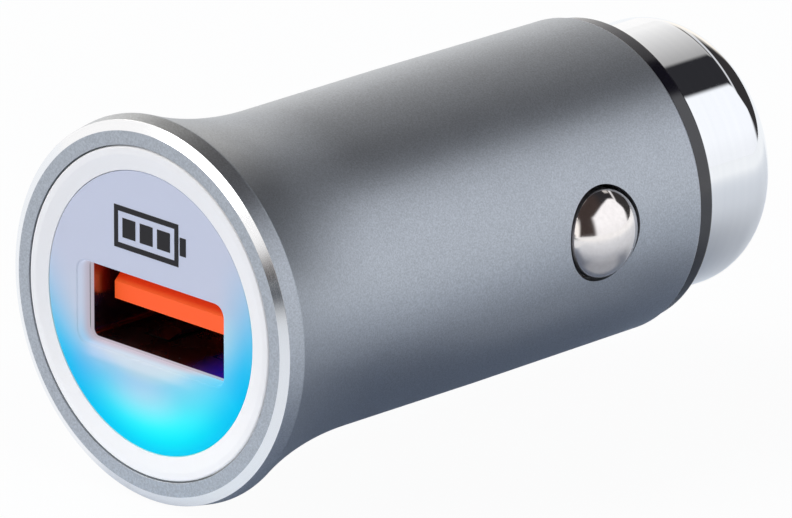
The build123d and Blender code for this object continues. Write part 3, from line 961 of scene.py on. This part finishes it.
insulator = {
    "plugR": 9.15 * mm,
    "plugRound": 0.10 * mm,
    "ringR": 10.00 * mm,
    "ringT": 1.15 * mm,
    "ringFrontRound": 0.05 * mm,
    "ringBackRound": 0.18 * mm,
    "spigotR": 8.00 * mm,
    "spigotRound": 0.10 * mm,
    "springBoreR": 3.40 * mm,
    "springBoreRound": 0.05 * mm,
    "springSeatY": 23.90 * mm,
    "boardHalfW": 5.90 * mm,
    "tabHalfW": 1.00 * mm,
    "tabHalfT": 0.20 * mm,
    "slack": 0.05 * mm,
    "look": dict(dark=(0.005, 0.004, 0.010), light=(0.008, 0.007, 0.015), rough=(0.12, 0.18), depth=0.04),
    "gloss": dict(Specular_IOR_Level=0.70, Coat_Weight=0.40, Coat_Roughness=0.10),
}


def makeInsulator(i):
    frontY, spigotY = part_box("nose_insulator")[0].y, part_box("nose_insulator")[1].y
    ringBackY = rearY + i["ringT"]
    corners = [
        (0, frontY, 0),
        (i["plugR"], frontY, i["plugRound"]),
        (i["plugR"], rearY, 0),
        (i["ringR"], rearY, i["ringFrontRound"]),
        (i["ringR"], ringBackY, i["ringBackRound"]),
        (i["spigotR"], ringBackY, 0),
        (i["spigotR"], spigotY, i["spigotRound"]),
        (i["springBoreR"], spigotY, i["springBoreRound"]),
        (i["springBoreR"], i["springSeatY"], 0),
        (0, i["springSeatY"], 0),
    ]
    piece = turnPiece("noseInsulator", corners)
    boardLow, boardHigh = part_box("main_board")
    slack = Vector((i["slack"], i["slack"], i["slack"]))
    slotLow = Vector((-i["boardHalfW"], frontY - overshoot, boardLow.z)) - slack
    slotHigh = Vector((i["boardHalfW"], boardHigh.y, boardHigh.z)) + slack
    cutAway(piece, addBlock("boardSlot", slotLow, slotHigh))
    tabLow = Vector((-i["tabHalfW"], frontY - overshoot, -i["tabHalfT"])) - slack
    tabHigh = Vector((i["tabHalfW"], i["springSeatY"] + overshoot, i["tabHalfT"])) + slack
    cutAway(piece, addBlock("tabSlot", tabLow, tabHigh))
    smoothShade(piece)
    black = makePlastic("blackPlastic", i["look"], **i["gloss"])
    dress(piece, "charger", "nose_insulator", "black_plastic", black)


makeInsulator(insulator)
print("insulator done")

# Nose cap and tip: bright plated cap, turned steel pin

nose = {
    "r": 8.80 * mm,
    "wall": 0.75 * mm,
    "endT": 1.20 * mm,
    "round": 3.00 * mm,
    "roundSteps": 24,
    "mouthRound": 0.06 * mm,
    "turnSteps": 256,
    "tipR": 3.00 * mm,
    "tipHoleR": 3.06 * mm,
    "tipHoleRound": 0.15 * mm,
    "tipHoleInnerRound": 0.05 * mm,
    "tipRound": 1.30 * mm,
    "tipBrimR": 4.20 * mm,
    "tipBrimT": 1.60 * mm,
    "tipBrimGap": 0.10 * mm,
    "tipBrimRound": 0.10 * mm,
    "tipTurnSteps": 128,
    "stemR": 1.20 * mm,
    "stemRound": 0.15 * mm,
    "plated": dict(
        dark=(0.90, 0.91, 0.93), light=(0.95, 0.955, 0.965),
        rough=(0.02, 0.05), spacing=0.35 * mm, depth=0.015,
    ),
    "turned": dict(
        dark=(0.66, 0.65, 0.63), light=(0.78, 0.77, 0.75), rough=(0.12, 0.20), spacing=0.08 * mm, depth=0.08
    ),
}


def makeNose(n):
    ringBackY = rearY + insulator["ringT"]
    innerR = n["r"] - n["wall"]
    innerEndY = noseEndY - n["endT"]
    corners = [
        (n["r"], ringBackY, n["mouthRound"]),
        *arcCorners(n["r"] - n["round"], noseEndY - n["round"], n["round"], 0, 90, n["roundSteps"]),
        (n["tipHoleR"], noseEndY, n["tipHoleRound"]),
        (n["tipHoleR"], innerEndY, n["tipHoleInnerRound"]),
        (innerR, innerEndY, n["round"] - n["wall"]),
        (innerR, ringBackY, n["mouthRound"]),
        (n["r"], ringBackY, 0),
    ]
    piece = turnPiece("noseCap", corners, steps=n["turnSteps"])
    smoothShade(piece, fromAngle=25)
    dress(piece, "charger", "nose_cap", "bright_plating", makeTurnedMetal("brightPlating", **n["plated"]))
    brimBackY = innerEndY - n["tipBrimGap"]
    brimFrontY = brimBackY - n["tipBrimT"]
    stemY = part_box("tip_contact")[0].y
    corners = [
        (0, stemY, 0),
        (n["stemR"], stemY, n["stemRound"]),
        (n["stemR"], brimFrontY, 0),
        (n["tipBrimR"], brimFrontY, n["tipBrimRound"]),
        (n["tipBrimR"], brimBackY, n["tipBrimRound"]),
        (n["tipR"], brimBackY, 0),
        (n["tipR"], tipEndY, n["tipRound"]),
        (0, tipEndY, 0),
    ]
    pin = turnPiece("tipPin", corners, steps=n["tipTurnSteps"])
    smoothShade(pin)
    dress(pin, "tip_contact", "tip_contact", "contact_steel", makeTurnedMetal("tipSteel", **n["turned"]))


makeNose(nose)
print("nose and tip done")

# Springs: a coil under the tip and a folded leaf behind each dome

springs = {
    "coilR": 2.60 * mm,
    "wireR": 0.25 * mm,
    "turns": 4,
    "turnSteps": 48,
    "wireSides": 12,
    "leafT": 0.30 * mm,
    "leafW": 3.20 * mm,
    "leafEdge": 0.06 * mm,
    "bend": 0.45 * mm,
    "footFrom": 4.10 * mm,
    "footTo": 5.60 * mm,
    "backAt": 7.70 * mm,
    "knee": 1.60 * mm,
    "up": 2.40 * mm,
    "look": dict(
        dark=(0.40, 0.40, 0.41), light=(0.50, 0.50, 0.51), rough=(0.25, 0.35), pitch=4000, depth=0.05
    ),
}


def makeCoil(s, finish):
    seatY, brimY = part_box("tip_spring")[0].y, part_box("tip_spring")[1].y
    clearSelection()
    bpy.ops.mesh.primitive_circle_add(
        vertices=s["wireSides"], radius=s["wireR"], location=(s["coilR"], seatY + s["wireR"], 0)
    )
    coil = namePiece("tipCoil")
    settle()
    winding = coil.modifiers.new("winding", 'SCREW')
    winding.axis = 'Y'
    winding.iterations = s["turns"]
    winding.screw_offset = (brimY - seatY - 2 * s["wireR"]) / s["turns"]
    winding.steps = s["turnSteps"]
    winding.render_steps = s["turnSteps"]
    applyModifier(coil, winding)
    bpy.ops.object.mode_set(mode='EDIT')
    bpy.ops.mesh.select_all(action='SELECT')
    bpy.ops.mesh.remove_doubles(threshold=mergeReach)
    bpy.ops.mesh.fill_holes(sides=s["wireSides"])
    bpy.ops.mesh.normals_make_consistent(inside=False)
    bpy.ops.object.mode_set(mode='OBJECT')
    smoothShade(coil)
    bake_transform(coil)
    coat(coil, "tip_spring", "spring_steel", finish)


# The line runs through the middle of the sheet: along the board, up to the knee and up behind the brim
def makeLeaf(s, node, name, side, finish):
    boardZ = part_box("main_board")[1].z
    lean = side * contact["tilt"]
    half = s["leafT"] / 2
    backX, backZ = s["backAt"] * math.cos(lean), s["backAt"] * math.sin(lean)
    kneeZ = backZ - s["knee"]
    line = [
        (s["footFrom"], boardZ + half),
        (s["footTo"], boardZ + half),
        (backX + s["knee"] * math.sin(lean) - half, kneeZ),
        (backX - s["up"] * math.sin(lean) - half, backZ + s["up"]),
    ]
    edgeY = (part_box(node)[0].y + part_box(node)[1].y - s["leafW"]) / 2
    places = [Vector((side * x, edgeY, z)) for x, z in line]
    leaf = drawProfile(name, places, (0, s["bend"], s["bend"], 0))
    bpy.ops.mesh.extrude_region_move(TRANSFORM_OT_translate={"value": (0, s["leafW"], 0)})
    bpy.ops.mesh.select_all(action='SELECT')
    bpy.ops.mesh.normals_make_consistent(inside=False)
    bpy.ops.object.mode_set(mode='OBJECT')
    sheet = leaf.modifiers.new("sheet", 'SOLIDIFY')
    sheet.thickness = s["leafT"]
    sheet.offset = 0
    sheet.use_even_offset = True
    applyModifier(leaf, sheet)
    softenEdges(leaf, s["leafEdge"], fromAngle=60)
    smoothShade(leaf)
    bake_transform(leaf)
    coat(leaf, node, "spring_steel", finish)


def makeSprings(s):
    steel = makeMetal("springSteel", **s["look"])
    makeCoil(s, steel)
    makeLeaf(s, "side_spring_right", "sideLeafRight", 1, steel)
    makeLeaf(s, "side_spring_left", "sideLeafLeft", -1, steel)


makeSprings(springs)
print("springs done")

# Inner parts keep their solids and get their own finishes

inner = {
    "metals": {
        "shellSteel": dict(
            dark=(0.42, 0.41, 0.40), light=(0.52, 0.51, 0.50), rough=(0.22, 0.32), pitch=3000, depth=0.05
        ),
        "contactBrass": dict(
            dark=(0.70, 0.48, 0.17), light=(0.80, 0.58, 0.25), rough=(0.16, 0.24), pitch=4000, depth=0.04
        ),
        "canAluminium": dict(
            dark=(0.60, 0.60, 0.61), light=(0.70, 0.70, 0.71), rough=(0.25, 0.35), pitch=3000, depth=0.05
        ),
    },
    "plastics": {
        "boardLaminate": dict(
            dark=(0.012, 0.11, 0.045), light=(0.02, 0.15, 0.06), rough=(0.28, 0.40), depth=0.10
        ),
        "ledResin": dict(dark=(0.75, 0.77, 0.70), light=(0.85, 0.86, 0.80), rough=(0.20, 0.30), depth=0.03),
        "ferrite": dict(dark=(0.05, 0.05, 0.055), light=(0.08, 0.08, 0.085), rough=(0.55, 0.70), depth=0.30),
        "chipResin": dict(
            dark=(0.016, 0.016, 0.018), light=(0.026, 0.026, 0.028), rough=(0.45, 0.58), depth=0.15
        ),
        "ceramic": dict(dark=(0.42, 0.31, 0.20), light=(0.52, 0.39, 0.26), rough=(0.40, 0.50), depth=0.10),
    },
    "nodes": {
        "shellSteel": ("usb_shell",),
        "contactBrass": (*tongue["grooves"], "tip_terminal"),
        "canAluminium": ("input_capacitor", "output_capacitor"),
        "boardLaminate": ("main_board",),
        "ledResin": ("led_left", "led_centre", "led_right"),
        "ferrite": ("power_inductor",),
        "chipResin": ("converter_chip", "charge_chip", "rectifier_diode", "resistors"),
        "ceramic": ("ceramic_capacitors",),
    },
    "mouthShade": (0.34, 0.32, 0.32),
    "deepShade": (0.21, 0.14, 0.13),
    "deepFrom": (0.1 * mm, 1.2 * mm),
    "lampBlue": (0.004, 0.003, 0.24),
    "blueAcross": (1.5 * mm, 6.3 * mm),
    "blueBelow": (-1.2 * mm, -3.2 * mm),
    "rimGlow": (0.30, 0.27, 0.31),
    "rimDepth": (0.06 * mm, 0.01 * mm),
}


# Painted shade darkens the receptacle inside, most of all further in; a painted blue glow of the lamps behind
# the plate tints its far lower corner, and a painted pale glow lines its front rim
def darkenInside(tree, i):
    x, y, z = placeOf(tree)
    depth = calculate(tree, 'SUBTRACT', y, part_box("usb_shell")[0].y)
    insideShade = blendColours(tree, fade(tree, depth, *i["deepFrom"]), i["mouthShade"], i["deepShade"])
    put(tree, tree.nodes["Principled BSDF"].inputs["Base Color"], insideShade)
    corner = product(tree, fade(tree, x, *i["blueAcross"]), fade(tree, z, *i["blueBelow"]))
    rim = fade(tree, depth, *i["rimDepth"])
    setGlow(tree, blendColours(tree, rim, dimmed(tree, corner, i["lampBlue"]), i["rimGlow"]))


def finishInside(i):
    finishes = {name: makeMetal(name, **look) for name, look in i["metals"].items()}
    finishes.update({name: makePlastic(name, look) for name, look in i["plastics"].items()})
    darkenInside(finishes["shellSteel"].node_tree, i)
    for finishName, nodeNames in i["nodes"].items():
        for nodeName in nodeNames:
            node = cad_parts[nodeName]
            node.data.materials.clear()
            node.data.materials.append(finishes[finishName])


finishInside(inner)
print("inner parts finished")

# Studio: pale floor, a soft key lamp above the left side, a fill lamp in front, and long soft reflectors.
# Reaches of the reflectors are the Y part of a direction, from -1 ahead of the face to 1 behind the nose.

studio = {
    "floorLow": (-3.0, -3.0),
    "floorHigh": (3.0, 4.0),
    "floorColour": (0.75, 0.84, 0.98),
    "floorWhite": (0.96, 0.98, 1.0),
    "floorShadow": 0.04,
    "floorRough": 0.9,
    "shadowSteps": ((10 * mm, 30 * mm, 0.15), (30 * mm, 110 * mm, 0.75)),
    "leftFloor": (-2 * mm, -10 * mm, 0.0, 0.92),
    "leftFloorY": (-17 * mm, -13 * mm),
    "frontFloor": (-10 * mm, -14 * mm, 0.0, 0.48),
    "rightFloor": (10 * mm, 13 * mm, 20 * mm, 30 * mm),
    "rightFloorY": (9 * mm, 16 * mm, 26 * mm, 33 * mm),
    "rightFloorShare": 0.19,
    "shadeColour": (0.57, 0.655, 0.795),
    "shadeStartY": (-14 * mm, -10 * mm),
    "shadeEndY": (40 * mm, 27 * mm),
    "shadeReach": (32 * mm, 14 * mm),
    "frontEdge": (-0.03, -0.21),
    "frontWidth": (0.16, 0.06),
    "frontDark": (0.09, 0.10, 0.115),
    "lamps": {
        "keyLamp": dict(place=(-1.30, -0.10, 1.35), size=1.10, power=20.0, colour=(1.0, 0.91, 0.78)),
        "fillLamp": dict(place=(-0.75, -1.60, 0.95), size=1.10, power=8.5, colour=(1.0, 1.0, 1.0)),
    },
    "rightColour": (1.00, 1.02, 1.06),
    "rightTop": math.radians(34),
    "rightTopSteps": ((-0.15, 0.42, 18), (0.42, 0.62, 7.5), (0.78, 0.92, -19.5), (0.92, 0.98, -35)),
    "rightReach": (-0.28, -0.12, 0.90, 0.97),
    "rightLow": (math.radians(24), math.radians(2), 1.0, 0.93),
    "strip": (0.765, 0.785, 0.815, 0.835),
    "stripLevel": 0.7,
    "stripSpan": [math.radians(angle) for angle in (50, 54, 166, 178)],
    "leftColour": (1.03, 1.02, 1.01),
    "leftWarm": (1.06, 1.00, 0.91),
    "warmReach": ((0.0, 0.2, 0.54, 0.60), (0.72, 0.78, 0.90, 0.96)),
    "leftTop": math.radians(92.3),
    "leftFull": math.radians(150),
    "leftEdge": 0.33,
    "leftLevel": 0.94,
    "leftReach": (0.632, 0.652, 0.735, 0.765),
    "farReach": (0.76, 0.78, 0.86, 0.90),
    "farSpan": (math.radians(125), math.radians(150)),
    "farLevel": 0.50,
    "lowLeft": (math.radians(137), math.radians(161)),
    "lowLeftReach": (0.93, 0.87),
    "frontReach": (0.05, -0.15),
    "frontTop": (math.radians(106), math.radians(122)),
    "aheadReach": (-0.70, -0.90),
    "aheadWidth": (0.35, 0.10),
    "aheadHeight": (0.14, 0.02),
    "aheadDark": 0.09,
    "edgeSoft": math.radians(5),
    "gloom": (0.026, 0.026, 0.030),
    "nearGloom": (0.050, 0.038, 0.036),
    "nearGloomReach": (0.50, 0.10),
    "farGloom": (0.035, 0.033, 0.034),
    "farGloomReach": (0.70, 0.78),
}
cameraSet = {
    "azimuth": math.radians(45.55),
    "elevation": math.radians(19.07),
    "aim": Vector((10.27, -0.92, 3.38)) * mm,
    "distance": 1.06,
    "lens": 772.73,
    "sensor": 36,
    "clip": (0.01, 100),
}


def makeFloorFinish(s):
    finish, tree, shader = newFinish("paleFloor", Roughness=s["floorRough"])
    path = addNode(tree, 'ShaderNodeLightPath').outputs
    x, y = placeOf(tree)[:2]
    sideways = calculate(tree, 'ABSOLUTE', x)
    # Metal sees a painted white glow on the floor away from the plug, and sooner on its left, on its right
    # and in front
    plugMiddle, plugHalf = (faceY + noseEndY) / 2, (noseEndY - faceY) / 2
    fromMiddle = calculate(tree, 'ABSOLUTE', calculate(tree, 'SUBTRACT', y, plugMiddle))
    beyond = largest(tree, calculate(tree, 'SUBTRACT', fromMiddle, plugHalf), 0.0)
    away = twoSteps(tree, distanceOf(tree, x, beyond), *s["shadowSteps"])
    left = product(tree, fade(tree, x, *s["leftFloor"]), fade(tree, y, *s["leftFloorY"]))
    right = product(tree, reachOf(tree, x, s["rightFloor"]), reachOf(tree, y, s["rightFloorY"]))
    right = product(tree, right, s["rightFloorShare"])
    away = largest(tree, away, left, fade(tree, y, *s["frontFloor"]), right)
    # The floor's colour carries a painted shade of the barrel, and metal sees the floor end in front of the
    # plug, as a painted dark patch
    shade = product(tree, fade(tree, y, *s["shadeEndY"]), fade(tree, sideways, *s["shadeReach"]))
    shade = product(tree, shade, fade(tree, y, *s["shadeStartY"]))
    put(tree, shader.inputs["Base Color"], blendColours(tree, shade, s["floorColour"], s["shadeColour"]))
    mirrored = largest(tree, path["Is Glossy Ray"], path["Is Transmission Ray"])
    ahead = product(tree, fade(tree, y, *s["frontEdge"]), fade(tree, sideways, *s["frontWidth"]))
    beyondFront = product(tree, mirrored, ahead)
    white = blendColours(tree, mirrored, (1, 1, 1), s["floorWhite"])
    glow = addNode(tree, 'ShaderNodeEmission')
    put(tree, glow.inputs["Color"], blendColours(tree, beyondFront, white, s["frontDark"]))
    seen = product(tree, path["Is Camera Ray"], 1 - s["floorShadow"])
    share = largest(tree, seen, product(tree, mirrored, away), beyondFront)
    mixShaders(tree, share, shader, glow, tree.nodes["Material Output"])
    return finish


def makeFloor(s):
    clearSelection()
    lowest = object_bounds()[0].z
    low, high = Vector((*s["floorLow"], lowest)), Vector((*s["floorHigh"], lowest))
    bpy.ops.mesh.primitive_plane_add(size=1, location=(low + high) / 2)
    floor = namePiece("studioFloor")
    floor.scale = (high.x - low.x, high.y - low.y, 1)
    settle()
    floor.data.materials.append(makeFloorFinish(s))
    floor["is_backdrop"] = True


def makeLamp(name, place, size, power, colour):
    lampData = bpy.data.lights.new(name, 'AREA')
    lampData.energy = power
    lampData.size = size
    lampData.color = colour
    lamp = bpy.data.objects.new(name, lampData)
    bpy.context.scene.collection.objects.link(lamp)
    lamp.location = place
    lamp.rotation_euler = (-Vector(place)).to_track_quat('-Z', 'Y').to_euler()
    lamp.visible_camera = False


def rightReflector(tree, s, angle, along):
    # It is highest beside the nose, and lower at both of its ends
    top = s["rightTop"]
    for start, end, rise in s["rightTopSteps"]:
        step = fade(tree, along, start, end, 0.0, math.radians(rise), 'LINEAR')
        top = calculate(tree, 'ADD', step, top)
    edge = fade(tree, calculate(tree, 'SUBTRACT', top, angle), -s["edgeSoft"], 0.0)
    level = product(tree, edge, fade(tree, angle, *s["rightLow"]), reachOf(tree, along, s["rightReach"]))
    strip = product(tree, reachOf(tree, along, s["strip"]), reachOf(tree, angle, s["stripSpan"]))
    return largest(tree, level, product(tree, strip, s["stripLevel"]))


def leftReflector(tree, s, angle, along):
    start = fade(tree, angle, s["leftTop"], s["leftTop"] + s["edgeSoft"])
    level = fade(tree, angle, s["leftTop"], s["leftFull"], s["leftEdge"], s["leftLevel"], 'LINEAR')
    near = product(tree, level, start, reachOf(tree, along, s["leftReach"]))
    far = product(tree, reachOf(tree, along, s["farReach"]), fade(tree, angle, *s["farSpan"]), s["farLevel"])
    front = product(tree, fade(tree, angle, *s["frontTop"]), fade(tree, along, *s["frontReach"]))
    low = product(tree, fade(tree, angle, *s["lowLeft"]), fade(tree, along, *s["lowLeftReach"]))
    return largest(tree, near, far, front, low)


# The reflectors lie along the plug, so their light depends on the angle round its axis
def makeWorld(s):
    world = bpy.data.worlds.new("studio")
    bpy.context.scene.world = world
    world.use_nodes = True
    tree = world.node_tree
    tree.nodes.clear()
    x, along, z = placeOf(tree, "Generated")
    # Just below the horizon the studio looks as it does just above
    angle = calculate(tree, 'ABSOLUTE', calculate(tree, 'ARCTAN2', z, x))
    rightShare = rightReflector(tree, s, angle, along)
    leftShare = leftReflector(tree, s, angle, along)
    # Straight ahead of the plug the studio is lit, apart from a dark place low in the middle
    sideways = calculate(tree, 'ABSOLUTE', x)
    lowAhead = product(tree, fade(tree, sideways, *s["aheadWidth"]), fade(tree, z, *s["aheadHeight"]))
    aheadLevel = fade(tree, lowAhead, 0.0, 1.0, 1.0, s["aheadDark"], 'LINEAR')
    leftShare = shareOf(tree, fade(tree, along, *s["aheadReach"]), leftShare, aheadLevel)
    gloom = blendColours(tree, fade(tree, along, *s["nearGloomReach"]), s["gloom"], s["nearGloom"])
    gloom = blendColours(tree, fade(tree, along, *s["farGloomReach"]), gloom, s["farGloom"])
    withRight = blendColours(tree, rightShare, gloom, s["rightColour"])
    # The left side is a little warmer, apart from the part that the nose mirrors
    warmth = calculate(tree, 'ADD', *[reachOf(tree, along, reach) for reach in s["warmReach"]])
    leftColour = blendColours(tree, warmth, s["leftColour"], s["leftWarm"])
    light = addNode(tree, 'ShaderNodeBackground')
    put(tree, light.inputs["Color"], blendColours(tree, leftShare, withRight, leftColour))
    white = addNode(tree, 'ShaderNodeBackground')
    put(tree, white.inputs["Color"], (1, 1, 1))
    cameraRay = addNode(tree, 'ShaderNodeLightPath').outputs["Is Camera Ray"]
    mixShaders(tree, cameraRay, light, white, addNode(tree, 'ShaderNodeOutputWorld'))


def makeCamera(c):
    back = Vector((
        math.sin(c["azimuth"]) * math.cos(c["elevation"]),
        -math.cos(c["azimuth"]) * math.cos(c["elevation"]),
        math.sin(c["elevation"]),
    ))
    cameraData = bpy.data.cameras.new("camera")
    cameraData.lens = c["lens"]
    cameraData.sensor_width = c["sensor"]
    cameraData.clip_start, cameraData.clip_end = c["clip"]
    camera = bpy.data.objects.new("camera", cameraData)
    bpy.context.scene.collection.objects.link(camera)
    camera.location = c["aim"] + back * c["distance"]
    camera.rotation_euler = (-back).to_track_quat('-Z', 'Y').to_euler()
    bpy.context.scene.camera = camera


makeFloor(studio)
for lampName, lampValues in studio["lamps"].items():
    makeLamp(lampName, **lampValues)
makeWorld(studio)
makeCamera(cameraSet)
clearSelection()
bpy.context.scene.view_settings.view_transform = 'Standard'
print("studio ready")
